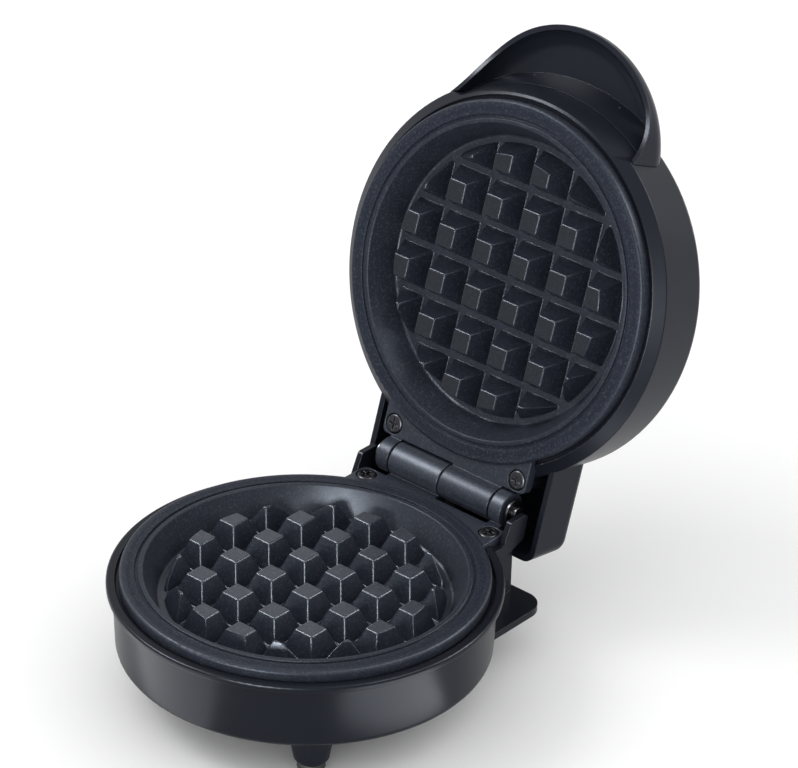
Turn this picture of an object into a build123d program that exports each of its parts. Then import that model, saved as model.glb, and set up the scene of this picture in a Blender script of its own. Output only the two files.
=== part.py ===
"""Mini waffle maker: a round base and a round lid, joined by a pin hinge at the rear.

The lid stands open, as it rests on its stop. +X runs along the hinge to the right, +Y to the rear
and +Z up. The origin is on the table, under the middle of the lower cooking plate. Each half is
drawn in its own plate frame, with the stud tops at height zero and the casing below them.
"""
from build123d import *
from math import atan2, cos, degrees, hypot, radians, sin, sqrt
import os

# Cooking plates: waffle studs on a round floor inside a sloping wall
stud_pitch = 15.0
studs_across = 6
stud_top_width = 6.7
stud_foot_width = 12.8
stud_height = 8.0
stud_edge_round = 0.55
floor_radius = 45.6
mouth_radius = 50.0
rim_rise = 1.2
mouth_ring_width = 1.5
rim_groove_width = 1.0
rim_groove_depth = 0.9
land_drop = 0.2
plate_radius = 57.2
plate_edge_round = 0.9
plate_wall = 2.6
plate_flange_depth = 2.9
plate_gap = 0.5

# Hinge leaves, barrels and pin
hinge_setback = 66.9
hinge_rise = 3.4
open_angle = 107.0
barrel_radius = 5.6
long_barrel_length = 20.2
short_barrel_length = 4.6
middle_barrel_gap = 0.6
end_barrel_gap = 0.7
leaf_half_width = 29.4
leaf_drop = 0.3
leaf_thickness = 3.5
leaf_barrel_gap = 0.6
leaf_corner_round = 2.0
leaf_root_setback = 40.0
pin_diameter = 4.4
pin_running_gap = 0.05
pin_head_diameter = 7.4
pin_head_thickness = 1.4
pin_tail_length = 3.4
clip_offset = 0.9
clip_thickness = 0.8
clip_diameter = 8.2
clip_groove_depth = 0.55
clip_mouth_width = 3.0

# Plate screws through the leaves, and every other small screw
leaf_screw_spacing = 51.0
leaf_screw_setback = 56.9
leaf_screw_head_diameter = 6.4
leaf_screw_head_height = 1.6
leaf_screw_shank_diameter = 3.5
leaf_screw_length = 10.0
leaf_screw_recess = 1.4
small_head_diameter = 5.0
small_head_height = 1.6
small_shank_diameter = 2.8
small_screw_length = 6.0
screw_hole_gap = 0.2
cross_slot_width = 0.9
cross_slot_share = 0.62
cross_slot_depth = 0.9
boss_wall = 1.7

# Base casing
casing_wall = 2.2
lip_gap = 1.1
lip_outer_radius = 61.3
lip_top_drop = 1.8
lip_thickness = 2.2
lip_round = 0.9
ledge_width = 3.3
ledge_thickness = 2.0
seat_gap = 0.3
base_wall_top_radius = 59.4
base_wall_foot_radius = 58.5
base_depth = 25.2
base_corner_round = 2.4
cover_radius = 55.4
cover_fit_gap = 0.15
cover_thickness = 1.6
cover_rim_width = 4.4
cover_rim_thickness = 1.2
cover_screw_radius = 53.0
cover_screw_angles = (0.0, 65.0, 115.0, 180.0, 270.0)
cover_boss_height = 8.0
cover_rib_height = 0.6

# Rear of the base: the cord spool and the hinge block above it
block_half_width = 32.0
block_wall = 2.0
block_rise = 4.3
block_front_foot_setback = 56.6
block_front_top_setback = 60.0
block_rear_setback = 68.3
block_rear_lean = 2.1
block_chamfer_setback = 60.5
block_chamfer_height = 1.9
block_bottom_drop = 6.1
block_corner_round = 1.4
spool_half_width = 30.0
spool_rear_setback = 63.5
spool_flange_half_width = 42.5
spool_flange_setback = 66.2
spool_flange_thickness = 2.4
spool_flange_round = 7.0
stop_rib_spacing = 48.0
stop_rib_width = 2.4
stop_contact_gap = 0.15
rear_root_setback = 44.0
leaf_notch_gap = 0.35
wire_window_half_width = 20.0
wire_window_top_drop = 8.0
inlet_drop = 18.1

# Feet
foot_ring_radius = 47.6
foot_angle = 45.0
rear_foot_half_spacing = 20.0
rear_foot_edge = 0.4
rear_foot_top_diameter = 13.2
foot_top_diameter = 14.4
foot_bottom_diameter = 10.8
foot_peg_length = 10.5
foot_neck_diameter = 8.4
foot_neck_length = 0.8
foot_tip_length = 3.0
foot_tip_diameter = 8.8
foot_tip_round = 1.2
foot_spigot_diameter = 4.0
foot_spigot_length = 1.6

# Lid casing
lid_wall_rim_radius = 62.3
lid_wall_top_radius = 60.6
lid_rim_drop = 4.6
lid_lip_drop = 1.9
lid_depth = 26.5
lid_corner_round = 3.0
lid_block_half_width = 36.0
lid_block_setback = 82.0
lid_block_rim_drop = 4.3
lid_block_depth = 22.0
lid_block_draft = 2.4
lid_block_side_round = 4.0
lid_block_top_round = 5.0
lid_block_inner_round = 2.0
barrel_sweep_gap = 0.7

# Scoop handle on the front of the lid
handle_radius = 37.1
handle_centre_inset = 17.5
handle_wall = 1.5
handle_top_drop = 25.4
handle_roof_drop = 22.0
handle_lip_drop = 16.2
handle_lip_bend = 25.0
handle_lip_reach = 23.1
handle_end_inset = 11.9
handle_edge_round = 9.0
handle_seat_gap = 0.1
recess_rim_margin = 1.0
recess_lean = 5.4
recess_inset = 11.4
recess_corner_round = 3.0
recess_pad_drop = 9.0
recess_wall = 1.8
handle_tab_width = 9.0
handle_tab_length = 8.0
handle_tab_thickness = 2.4
handle_tab_spacing = 26.0
handle_tab_root = 0.8
handle_tab_gap = 0.15

# Heating elements under the plates
element_diameter = 6.6
element_half_width = 31.0
element_leg_half_spacing = 13.0
element_leg_bend = 9.0
element_shoulder_setback = 24.0
element_neck_setback = 33.0
element_end_setback = 38.0
element_shoulder_bend = 8.0
element_neck_bend = 6.0
cold_pin_diameter = 2.4
cold_pin_length = 5.5
clamp_thickness = 1.0
clamp_width = 8.0
clamp_foot_length = 7.0
clamp_gap = 0.1
clamp_pad_height = 3.0
clamp_pad_radius = 3.2

# Heat shields
shield_radius = 45.0
shield_thickness = 0.6
shield_rim_height = 3.0
shield_drop = 20.2
shield_hole_radius = 18.0
shield_post_radius = 3.2
shield_post_ring = 41.0
shield_post_angles = (90.0, 205.0, 335.0)

# Thermostat under the lower plate
thermostat_diameter = 16.0
thermostat_height = 6.4
thermostat_cap_diameter = 12.0
thermostat_cap_height = 1.4
thermostat_blade_width = 4.8
thermostat_blade_thickness = 0.8
thermostat_blade_length = 3.2
thermostat_blade_spacing = 7.0
strap_length = 32.0
strap_width = 7.0
strap_thickness = 1.0
strap_screw_spacing = 25.0
strap_opening = 12.4
strap_ring_width = 2.6

# Thermal fuse over the upper plate
fuse_diameter = 4.0
fuse_length = 12.0
fuse_lead_diameter = 1.0
fuse_lead_length = 5.0
fuse_setback = 10.0
fuse_offset = 6.0
fuse_grip_gap = 0.1
fuse_clip_width = 6.0
fuse_clip_thickness = 0.8
fuse_clip_foot = 6.4

# Terminal block, earth tag, cord inlet and lamp
terminal_width = 20.0
terminal_depth = 9.0
terminal_height = 10.0
terminal_setback = 54.0
terminal_screw_diameter = 3.4
terminal_bore_diameter = 3.0
terminal_ways = 2
bushing_bore = 5.2
bushing_outer = 7.2
bushing_flange_diameter = 9.0
bushing_flange_thickness = 1.6
bushing_tail = 2.2
bushing_fit_gap = 0.1
lens_diameter = 7.0
lens_flange_diameter = 9.4
lens_flange_thickness = 1.0
lens_rise = 0.7
lens_edge_margin = 10.6
lens_fit_gap = 0.1
lamp_diameter = 5.0
lamp_length = 6.0
lamp_lead_diameter = 0.8
lamp_lead_length = 3.0
lamp_lead_spacing = 2.5

# Wires
wire_diameter = 1.8
wire_bend = 3.0
wire_end_gap = 0.1
wire_run_drop = 21.8
wire_inlet_depth = 2.0

overrun = 1.0

# Heights of the two plate frames, of the hinge and of the foot stack
foot_height = foot_peg_length + foot_neck_length + foot_tip_length
lower_stud_height = foot_height + base_depth
upper_stud_height = lower_stud_height + 2 * rim_rise + plate_gap
hinge_height = lower_stud_height + hinge_rise
lid_hinge_rise = upper_stud_height - hinge_height
plate_underside = -stud_height - plate_wall
stud_draft = (stud_foot_width - stud_top_width) / 2
stud_field_radius = floor_radius - (stud_pitch - stud_foot_width)
element_centre = plate_underside - element_diameter / 2

# Places that follow the casings
rear_foot_setback = spool_flange_setback - rear_foot_edge - rear_foot_top_diameter / 2
handle_centre_setback = lid_wall_rim_radius - handle_centre_inset
handle_end_setback = lid_wall_rim_radius - handle_end_inset
handle_lip_setback = handle_centre_setback + handle_radius - handle_lip_reach
handle_tab_drop = handle_roof_drop - handle_tab_thickness
recess_setback = lid_wall_rim_radius - recess_inset
recess_rim_radius = plate_radius + lip_gap + recess_rim_margin
recess_roof_radius = recess_rim_radius + recess_lean
lens_setback = lid_wall_top_radius - lens_edge_margin


# Outlines and placing

def outline(corners):
    """A closed flat face from (across, up, corner radius) triples."""
    points = [(across, up) for across, up, _ in corners]
    return make_face(FilletPolyline(*points, radius=[r for _, _, r in corners], close=True))


def turned(corners):
    """The solid that an outline sweeps round the upright axis."""
    return revolve(Plane.XZ * outline(corners), Axis.Z)


def side_cut(corners, half_width):
    """A (setback, height, radius) side view, extruded evenly to both sides."""
    return extrude(Plane.YZ * outline(corners), amount=half_width, both=True)


def disc(radius, low, high):
    """An upright cylinder between two heights."""
    return Pos(0, 0, (low + high) / 2) * Cylinder(radius, high - low)


def slab(x_span, y_span, z_span):
    """A box between three pairs of limits."""
    middles = [(low + high) / 2 for low, high in (x_span, y_span, z_span)]
    sizes = [high - low for low, high in (x_span, y_span, z_span)]
    return Pos(*middles) * Box(*sizes)


def rod(start, end, diameter):
    """A round rod from one point to another."""
    line = Line(start, end)
    return sweep(Plane(line @ 0, z_dir=line % 0) * Circle(diameter / 2), path=line)


def tube(points, bend, diameter):
    """A round wire or tube along straight runs that tangent arcs join."""
    path = FilletPolyline(*points, radius=bend)
    return sweep(Plane(path @ 0, z_dir=path % 0) * Circle(diameter / 2), path=path)


def polar(radius, angle):
    """The flat place at a radius and an angle."""
    return (radius * cos(radians(angle)), radius * sin(radians(angle)))


def group(solids):
    """Several separate solids kept as one node."""
    return Compound(children=[solid for shape in solids for solid in shape.solids()])


def in_base(shape):
    """Moves a shape from the lower plate frame to its place."""
    return Pos(0, 0, lower_stud_height) * shape


def in_lid(shape):
    """Turns a shape from the upper plate frame over, shuts it on the base and opens the lid."""
    shut = Pos(0, 0, upper_stud_height) * Rot(0, 180, 0) * shape
    to_hinge = Pos(0, hinge_setback, hinge_height)
    from_hinge = Pos(0, -hinge_setback, -hinge_height)
    return to_hinge * Rot(-open_angle, 0, 0) * from_hinge * shut


# Screws

def screw(head_diameter, head_height, shank_diameter, length):
    """A cross-head screw, standing head up with the underside of its head at height zero."""
    head = disc(head_diameter / 2, 0, head_height)
    top_ring = head.edges().group_by(Axis.Z)[-1]
    head = fillet(top_ring, head_height / 2)
    shank = disc(shank_diameter / 2, -length, 0)
    slot_length = head_diameter * cross_slot_share
    slot = (head_height - cross_slot_depth, head_height + overrun)
    arm = (-slot_length / 2, slot_length / 2)
    width = (-cross_slot_width / 2, cross_slot_width / 2)
    return head + shank - slab(arm, width, slot) - slab(width, arm, slot)


def leaf_screw():
    return screw(
        leaf_screw_head_diameter, leaf_screw_head_height, leaf_screw_shank_diameter, leaf_screw_length
    )


def small_screw(length=small_screw_length):
    return screw(small_head_diameter, small_head_height, small_shank_diameter, length)


def screw_hole(shank_diameter, low, high):
    """A clearance hole between two heights."""
    return disc(shank_diameter / 2 + screw_hole_gap, low, high)


leaf_screw_places = [(side * leaf_screw_spacing / 2, leaf_screw_setback) for side in (-1, 1)]
leaf_top = -leaf_drop
leaf_underside = leaf_top - leaf_thickness
leaf_head_seat = leaf_top - leaf_screw_recess


# Cooking plates

def stud():
    """One waffle stud with sloping sides and softened edges, standing on the cavity floor."""
    slope = degrees(atan2(stud_draft, stud_height))
    block = extrude(Rectangle(stud_foot_width, stud_foot_width), amount=stud_height, taper=slope)
    foot_edges = block.edges().group_by(Axis.Z)[0]
    block = fillet([edge for edge in block.edges() if edge not in foot_edges], stud_edge_round)
    return Pos(0, 0, -stud_height) * block


def stud_field():
    """The square grid of studs, cut off one channel's width inside the round floor, at the studs' own draft."""
    half = (studs_across - 1) / 2
    one = stud()
    top_radius = stud_field_radius - stud_draft
    reach = Pos(0, 0, -stud_height / 2) * Cone(stud_field_radius, top_radius, stud_height)
    field = []
    for column in range(studs_across):
        for row in range(studs_across):
            x, y = (column - half) * stud_pitch, (row - half) * stud_pitch
            if hypot(abs(x) - stud_top_width / 2, abs(y) - stud_top_width / 2) > top_radius:
                continue
            placed = Pos(x, y, 0) * one
            far = hypot(abs(x) + stud_foot_width / 2, abs(y) + stud_foot_width / 2)
            field.append(placed & reach if far > stud_field_radius else placed)
    return field


def barrel_spans():
    """Where the long and the short barrel of one plate lie along the hinge."""
    long_end = -middle_barrel_gap / 2
    long_start = long_end - long_barrel_length
    short_start = -long_start + end_barrel_gap
    return ((long_start, long_end), (short_start, short_start + short_barrel_length))


def along_hinge(radius, span, rise):
    """A cylinder on the hinge axis of a plate frame."""
    middle = (span[0] + span[1]) / 2
    return Pos(middle, hinge_setback, rise) * Rot(0, 90, 0) * Cylinder(radius, span[1] - span[0])


def plate_dish():
    """The turned body of the plate: rim, ring, groove, sloping wall and floor."""
    ring_outer = mouth_radius + mouth_ring_width
    groove_outer = ring_outer + rim_groove_width
    groove_floor = rim_rise - rim_groove_depth
    land = rim_rise - land_drop
    return turned([
        (0, -stud_height, 0),
        (floor_radius, -stud_height, plate_edge_round),
        (mouth_radius, rim_rise, mouth_ring_width / 4),
        (ring_outer, rim_rise, mouth_ring_width / 4),
        (ring_outer, groove_floor, 0),
        (groove_outer, groove_floor, 0),
        (groove_outer, land, rim_groove_width / 4),
        (plate_radius, land, plate_edge_round),
        (plate_radius, -plate_flange_depth, 0),
        (mouth_radius + plate_wall, -plate_flange_depth, plate_edge_round),
        (floor_radius + plate_wall, plate_underside, plate_edge_round),
        (0, plate_underside, 0),
    ])


def hinge_leaf(rise):
    """The cast ear behind the rim with its long and short barrels."""
    rear = hinge_setback - barrel_radius - leaf_barrel_gap
    leaf = slab((-leaf_half_width, leaf_half_width), (leaf_root_setback, rear), (leaf_underside, leaf_top))
    rear_corners = leaf.edges().filter_by(Axis.Z).group_by(Axis.Y)[-1]
    leaf = fillet(rear_corners, leaf_corner_round)
    for span in barrel_spans():
        leaf += slab(span, (rear - leaf_corner_round, hinge_setback), (leaf_underside, leaf_top))
        leaf += along_hinge(barrel_radius, span, rise)
    bore = along_hinge(pin_diameter / 2 + pin_running_gap, (-leaf_half_width, leaf_half_width), rise)
    return leaf - bore


def clamp_places():
    """Middle of each element clamp, and the turn that lays it across the tube."""
    return [
        (element_half_width, 0, 0),
        (-element_half_width, 0, 0),
        (0, -element_half_width, 90),
    ]


def clamp_foot_offset():
    return element_diameter / 2 + clamp_gap + clamp_thickness + clamp_foot_length / 2


def clamp_screw_places():
    """Both screw places of every element clamp."""
    reach = clamp_foot_offset()
    places = []
    for x, y, turn in clamp_places():
        for side in (-1, 1):
            dx, dy = polar(side * reach, turn)
            places.append((x + dx, y + dy))
    return places


def post_places():
    return [polar(shield_post_ring, angle) for angle in shield_post_angles]


def strap_places():
    return [(side * strap_screw_spacing / 2, 0) for side in (-1, 1)]


def cooking_plate(rise, posts):
    """A cast cooking plate with its hinge leaf and the cast pads on its underside."""
    dish_inside = disc(mouth_radius, -plate_flange_depth - overrun, rim_rise + overrun)
    plate = plate_dish() + (hinge_leaf(rise) - dish_inside)
    for piece in stud_field():
        plate += piece
    pad_foot = plate_underside - clamp_pad_height
    for x, y in clamp_screw_places():
        pad = Pos(x, y, 0) * disc(clamp_pad_radius, pad_foot, plate_underside)
        plate += pad - Pos(x, y, 0) * disc(small_shank_diameter / 2, pad_foot, plate_underside)
    for x, y in post_places():
        post = disc(shield_post_radius, -shield_drop, plate_underside)
        post -= disc(small_shank_diameter / 2, -shield_drop, -shield_drop + small_screw_length)
        plate += Pos(x, y, 0) * post
    for x, y, foot in posts:
        post = disc(shield_post_radius, foot, plate_underside)
        post -= disc(small_shank_diameter / 2, foot, plate_underside)
        plate += Pos(x, y, 0) * post
    for x, y in leaf_screw_places:
        plate -= Pos(x, y, 0) * screw_hole(leaf_screw_shank_diameter, leaf_underside - overrun, rim_rise)
        recess = leaf_screw_head_diameter / 2 + screw_hole_gap
        plate -= Pos(x, y, 0) * disc(recess, leaf_head_seat, rim_rise + overrun)
    return plate


def leaf_screws():
    return group([Pos(x, y, leaf_head_seat) * leaf_screw() for x, y in leaf_screw_places])


# Hinge pin and its clip

def hinge_span():
    """The outer ends of the barrels of both plates together."""
    end = barrel_spans()[1][1]
    return (-end, end)


def clip_span():
    start = hinge_span()[1] + clip_offset
    return (start, start + clip_thickness)


def hinge_pin():
    low, high = hinge_span()
    head_start = low - end_barrel_gap / 2 - pin_head_thickness
    pin = along_hinge(pin_diameter / 2, (head_start, high + pin_tail_length), hinge_rise)
    head = along_hinge(pin_head_diameter / 2, (head_start, head_start + pin_head_thickness), hinge_rise)
    groove = along_hinge(pin_diameter / 2 + overrun, clip_span(), hinge_rise)
    groove -= along_hinge(pin_diameter / 2 - clip_groove_depth, clip_span(), hinge_rise)
    return pin + head - groove


def pin_clip():
    """The open ring that snaps into the groove at the end of the pin."""
    ring = along_hinge(clip_diameter / 2, clip_span(), hinge_rise)
    ring -= along_hinge(pin_diameter / 2 - clip_groove_depth + pin_running_gap, clip_span(), hinge_rise)
    mouth_span = (hinge_setback - clip_mouth_width / 2, hinge_setback + clip_mouth_width / 2)
    mouth = slab(clip_span(), mouth_span, (hinge_rise - clip_diameter, hinge_rise))
    return ring - mouth


# Base casing

ledge_top = -plate_flange_depth - seat_gap
lip_inner_radius = plate_radius + lip_gap
ledge_inner_radius = lip_inner_radius - ledge_width
base_core_radius = base_wall_top_radius - casing_wall
base_floor = -base_depth
cover_seat = base_floor + cover_thickness
cover_inner_radius = cover_radius - cover_rim_width
spool_floor = base_floor + spool_flange_thickness


def base_drum():
    """The turned wall of the base with its lip, plate ledge and cover rim."""
    return turned([
        (ledge_inner_radius, ledge_top, 0),
        (lip_inner_radius, ledge_top, 0),
        (lip_inner_radius, -lip_top_drop, lip_round / 2),
        (lip_outer_radius, -lip_top_drop, lip_round),
        (lip_outer_radius, -lip_top_drop - lip_thickness, lip_round / 2),
        (base_wall_top_radius, -lip_top_drop - lip_thickness, 0),
        (base_wall_foot_radius, base_floor, base_corner_round),
        (cover_radius + cover_fit_gap, base_floor, 0),
        (cover_radius + cover_fit_gap, cover_seat, 0),
        (cover_inner_radius, cover_seat, 0),
        (cover_inner_radius, cover_seat + cover_rim_thickness, 0),
        (base_wall_foot_radius - casing_wall, cover_seat + cover_rim_thickness, 0),
        (base_core_radius, ledge_top - ledge_thickness, 0),
        (ledge_inner_radius, ledge_top - ledge_thickness, 0),
    ])


def rear_body():
    """The cord spool's column, and above it the two ears of the hinge block."""
    bottom = -block_bottom_drop
    ears = side_cut([
        (rear_root_setback, bottom, 0),
        (block_chamfer_setback, bottom, 0),
        (block_rear_setback - block_rear_lean, bottom + block_chamfer_height, block_corner_round),
        (block_rear_setback, block_rise, block_corner_round),
        (block_front_top_setback, block_rise, block_corner_round),
        (block_front_foot_setback, -lip_top_drop - lip_thickness / 2, 0),
        (rear_root_setback, -lip_top_drop - lip_thickness / 2, 0),
    ], block_half_width)
    ears -= slab(
        (-spool_half_width, spool_half_width),
        (rear_root_setback - overrun, block_rear_setback + overrun),
        (bottom - overrun, block_rise + overrun),
    )
    column = slab(
        (-spool_half_width, spool_half_width),
        (rear_root_setback, spool_rear_setback),
        (base_floor, bottom + block_wall),
    )
    column -= slab(
        (block_wall - spool_half_width, spool_half_width - block_wall),
        (rear_root_setback - overrun, spool_rear_setback - block_wall),
        (base_floor + block_wall, bottom + block_wall + overrun),
    )
    flange_root = sqrt(base_wall_foot_radius ** 2 - spool_flange_half_width ** 2)
    flange = slab(
        (-spool_flange_half_width, spool_flange_half_width),
        (flange_root, spool_flange_setback),
        (base_floor, spool_floor),
    )
    flange = fillet(flange.edges().filter_by(Axis.Z).group_by(Axis.Y)[-1], spool_flange_round)
    core = disc(base_core_radius, base_floor - overrun, block_rise + overrun)
    return column + ears + flange - core


def boss(place, low, high, shank_diameter):
    """A screw boss with a blind pilot hole from its top."""
    x, y = place
    solid = disc(shank_diameter / 2 + boss_wall, low, high)
    return Pos(x, y, 0) * solid


def pilot(place, low, high, shank_diameter):
    x, y = place
    return Pos(x, y, 0) * disc(shank_diameter / 2, low, high)


cover_screw_places = [polar(cover_screw_radius, angle) for angle in cover_screw_angles]
front_foot_places = [polar(foot_ring_radius, -90 + side * foot_angle) for side in (-1, 1)]
rear_foot_places = [(side * rear_foot_half_spacing, rear_foot_setback) for side in (-1, 1)]
foot_places = front_foot_places + rear_foot_places
foot_names = ["front_left", "front_right", "rear_left", "rear_right"]


def opened(setback, drop):
    """Where a point of the lid's side view lies in the base's side view with the lid open."""
    dy, dz = setback - hinge_setback, lid_hinge_rise - drop
    turn = radians(open_angle)
    return (hinge_setback + dy * cos(turn) + dz * sin(turn), hinge_rise - dy * sin(turn) + dz * cos(turn))


def stop_ribs():
    """Two ribs behind the spool that the rim of the opened lid comes to rest against."""
    inner_y, inner_z = opened(lid_block_setback - block_wall, -lid_block_rim_drop)
    outer_y, outer_z = opened(lid_block_setback, -lid_block_rim_drop)
    rib = side_cut([
        (spool_rear_setback - block_wall / 2, -block_bottom_drop + block_wall / 2, 0),
        (inner_y - stop_contact_gap, -block_bottom_drop + block_wall / 2, 0),
        (inner_y - stop_contact_gap, inner_z, 0),
        (outer_y - stop_contact_gap, outer_z, 0),
        (spool_rear_setback - block_wall / 2, 2 * outer_z - inner_z, 0),
    ], stop_rib_width / 2)
    return [Pos(side * stop_rib_spacing / 2, 0, 0) * rib for side in (-1, 1)]


def foot_peg(top_diameter):
    """A tapered peg with a short neck, and the socket for the tip's spigot."""
    neck_top = base_floor - foot_peg_length
    neck_foot = neck_top - foot_neck_length
    peg = turned([
        (0, base_floor, 0),
        (top_diameter / 2, base_floor, 0),
        (foot_bottom_diameter / 2, neck_top, foot_neck_length),
        (foot_neck_diameter / 2, neck_top, 0),
        (foot_neck_diameter / 2, neck_foot, 0),
        (0, neck_foot, 0),
    ])
    return peg - disc(foot_spigot_diameter / 2, neck_foot, neck_foot + foot_spigot_length)


def base_housing():
    """The base casing, from the lip round the lower plate down to the cover's rim and the rear feet."""
    housing = base_drum() + rear_body()
    peg = foot_peg(rear_foot_top_diameter)
    for x, y in rear_foot_places:
        housing += Pos(x, y, 0) * peg
    notch_half = leaf_half_width + leaf_notch_gap
    rear_end = block_rear_setback + overrun
    notch_low = leaf_underside
    housing -= slab(
        (-notch_half, notch_half), (leaf_root_setback, spool_rear_setback - block_wall), (notch_low, overrun)
    )
    window = slab(
        (-wire_window_half_width, wire_window_half_width),
        (leaf_root_setback, spool_rear_setback - block_wall),
        (cover_seat + cover_rim_thickness, -wire_window_top_drop),
    )
    housing -= window
    housing -= along_hinge(barrel_radius + barrel_sweep_gap, (-notch_half, notch_half), hinge_rise)
    leaf_foot = leaf_head_seat - leaf_screw_length
    for rib in stop_ribs():
        housing += rib
    for place in leaf_screw_places:
        housing += boss(place, base_floor + block_wall, leaf_underside, leaf_screw_shank_diameter)
        housing -= pilot(place, leaf_foot - overrun, overrun, leaf_screw_shank_diameter)
    boss_top = cover_seat + cover_rim_thickness + cover_boss_height
    for place in cover_screw_places:
        housing += boss(place, cover_seat, boss_top, small_shank_diameter)
        housing -= pilot(place, base_floor, boss_top - boss_wall, small_shank_diameter)
    inlet = Pos(0, spool_rear_setback - block_wall / 2, -inlet_drop) * Rot(90, 0, 0)
    return housing - inlet * Cylinder(bushing_outer / 2 + bushing_fit_gap, rear_end - spool_rear_setback)


def bottom_cover():
    """The round cover under the base with its two tapered front feet."""
    cover = disc(cover_radius, base_floor, cover_seat)
    peg = foot_peg(foot_top_diameter)
    for x, y in front_foot_places:
        cover += Pos(x, y, 0) * peg
    for x, y in cover_screw_places:
        cover -= Pos(x, y, 0) * screw_hole(small_shank_diameter, base_floor - overrun, cover_seat)
    ring_outer = cover_inner_radius - cover_rim_width
    rib = disc(ring_outer, cover_seat - overrun / 2, cover_seat + cover_rib_height)
    return cover + (rib - disc(ring_outer - cover_thickness, base_floor, cover_seat + overrun))


def foot_tip():
    """A rubber tip with a spigot that plugs into the foot."""
    top = base_floor - foot_peg_length - foot_neck_length
    low = top - foot_tip_length
    return turned([
        (0, low, 0),
        (foot_tip_diameter / 2, low, foot_tip_round),
        (foot_tip_diameter / 2, top, foot_tip_round / 3),
        (foot_spigot_diameter / 2, top, 0),
        (foot_spigot_diameter / 2, top + foot_spigot_length, 0),
        (0, top + foot_spigot_length, 0),
    ])


def cover_screws():
    turned_over = Rot(180, 0, 0) * small_screw()
    return group([Pos(x, y, base_floor) * turned_over for x, y in cover_screw_places])


# Lid casing and handle

def lid_wall_radius(drop):
    """Outer radius of the lid's wall at a depth below the stud tops."""
    share = (drop - lid_rim_drop) / (lid_depth - lid_rim_drop)
    return lid_wall_rim_radius + share * (lid_wall_top_radius - lid_wall_rim_radius)


def lid_solid(gap):
    """The sloping outside of the lid's drum, grown by a gap and run out at both ends."""
    slope = (lid_wall_rim_radius - lid_wall_top_radius) / (lid_depth - lid_rim_drop)
    low, high = -lid_depth - overrun, overrun
    foot = lid_wall_top_radius - slope * overrun + gap
    mouth = lid_wall_rim_radius + slope * (lid_rim_drop + overrun) + gap
    return turned([(0, low, 0), (foot, low, 0), (mouth, high, 0), (0, high, 0)])


def lid_drum():
    """The turned lid: lip, plate ledge, wall and flat top."""
    inner_top = -lid_depth + casing_wall
    return turned([
        (0, -lid_depth, 0),
        (lid_wall_top_radius, -lid_depth, lid_corner_round),
        (lid_wall_rim_radius, -lid_rim_drop, lip_round / 3),
        (lip_inner_radius, -lid_lip_drop, lip_round / 3),
        (lip_inner_radius, ledge_top, 0),
        (ledge_inner_radius, ledge_top, 0),
        (ledge_inner_radius, ledge_top - ledge_thickness, 0),
        (lid_wall_rim_radius - casing_wall, ledge_top - ledge_thickness, 0),
        (lid_wall_top_radius - casing_wall, inner_top, lip_round),
        (0, inner_top, 0),
    ])


def rear_corner_edges(block):
    """The two long upright edges at the rear of a block."""
    tall = [edge for edge in block.edges() if abs((edge @ 0).Z - (edge @ 1).Z) > lid_block_depth / 3]
    return [edge for edge in tall if min((edge @ 0).Y, (edge @ 1).Y) > hinge_setback]


def lid_block():
    """The hollow rear block of the lid, which covers the hinge and straddles the base's block."""
    rim, top = -lid_block_rim_drop, -lid_block_depth
    foot_setback = lid_block_setback - lid_block_draft
    outer = side_cut([
        (rear_root_setback, rim, 0),
        (lid_block_setback, rim, 0),
        (foot_setback, top, lid_block_top_round),
        (rear_root_setback, top, 0),
    ], lid_block_half_width)
    outer = fillet(rear_corner_edges(outer), lid_block_side_round)
    wall = block_wall
    inner = side_cut([
        (rear_root_setback - overrun, rim + overrun, 0),
        (lid_block_setback - wall, rim + overrun, 0),
        (lid_block_setback - wall, rim, 0),
        (foot_setback - wall, top + wall, lid_block_top_round - wall),
        (rear_root_setback - overrun, top + wall, 0),
    ], lid_block_half_width - wall)
    inner = fillet(rear_corner_edges(inner), lid_block_inner_round)
    core = disc(lid_wall_rim_radius - casing_wall, -lid_depth, overrun)
    return outer - inner - core


def finger_cone():
    """The inside of the scoop's back wall, which leans out from the lid's rim towards the roof."""
    slope = (recess_roof_radius - recess_rim_radius) / (handle_roof_drop - lid_lip_drop)
    foot = recess_roof_radius + slope * (handle_top_drop - handle_roof_drop)
    mouth = recess_rim_radius - slope * (lid_lip_drop + overrun)
    return turned([(0, -handle_top_drop, 0), (foot, -handle_top_drop, 0), (mouth, overrun, 0), (0, overrun, 0)])


def finger_recess():
    """What the scoop takes off the lid's rim between its two ends."""
    reach = lid_wall_rim_radius + overrun
    recess = disc(reach, -handle_roof_drop, overrun) - finger_cone()
    recess &= slab((-reach, reach), (-reach, -recess_setback), (-handle_roof_drop, overrun))
    inner = [edge for edge in recess.edges()
             if (edge @ 0).Z * (edge @ 1).Z <= 0 and max((edge @ 0).Y, (edge @ 1).Y) > -recess_setback - overrun / 2
             and hypot((edge @ 1).X, (edge @ 1).Y) + hypot((edge @ 0).X, (edge @ 0).Y) < 2 * reach - overrun]
    return fillet(inner, recess_corner_round)


def recess_pad():
    """The thicker inside of the lid's wall behind the recess."""
    low, high = -recess_pad_drop, ledge_top - ledge_thickness / 2
    reach = lid_wall_rim_radius - casing_wall / 2
    pad = disc(reach, low, high) - disc(recess_rim_radius - recess_wall, low - overrun, high + overrun)
    return pad & slab((-reach, reach), (-reach, -recess_setback + casing_wall), (low, high))


tab_places = [side * handle_tab_spacing / 2 for side in (-1, 1)]


def tab_inner_setback():
    return lid_wall_radius(handle_tab_drop) - casing_wall - handle_tab_length


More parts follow.
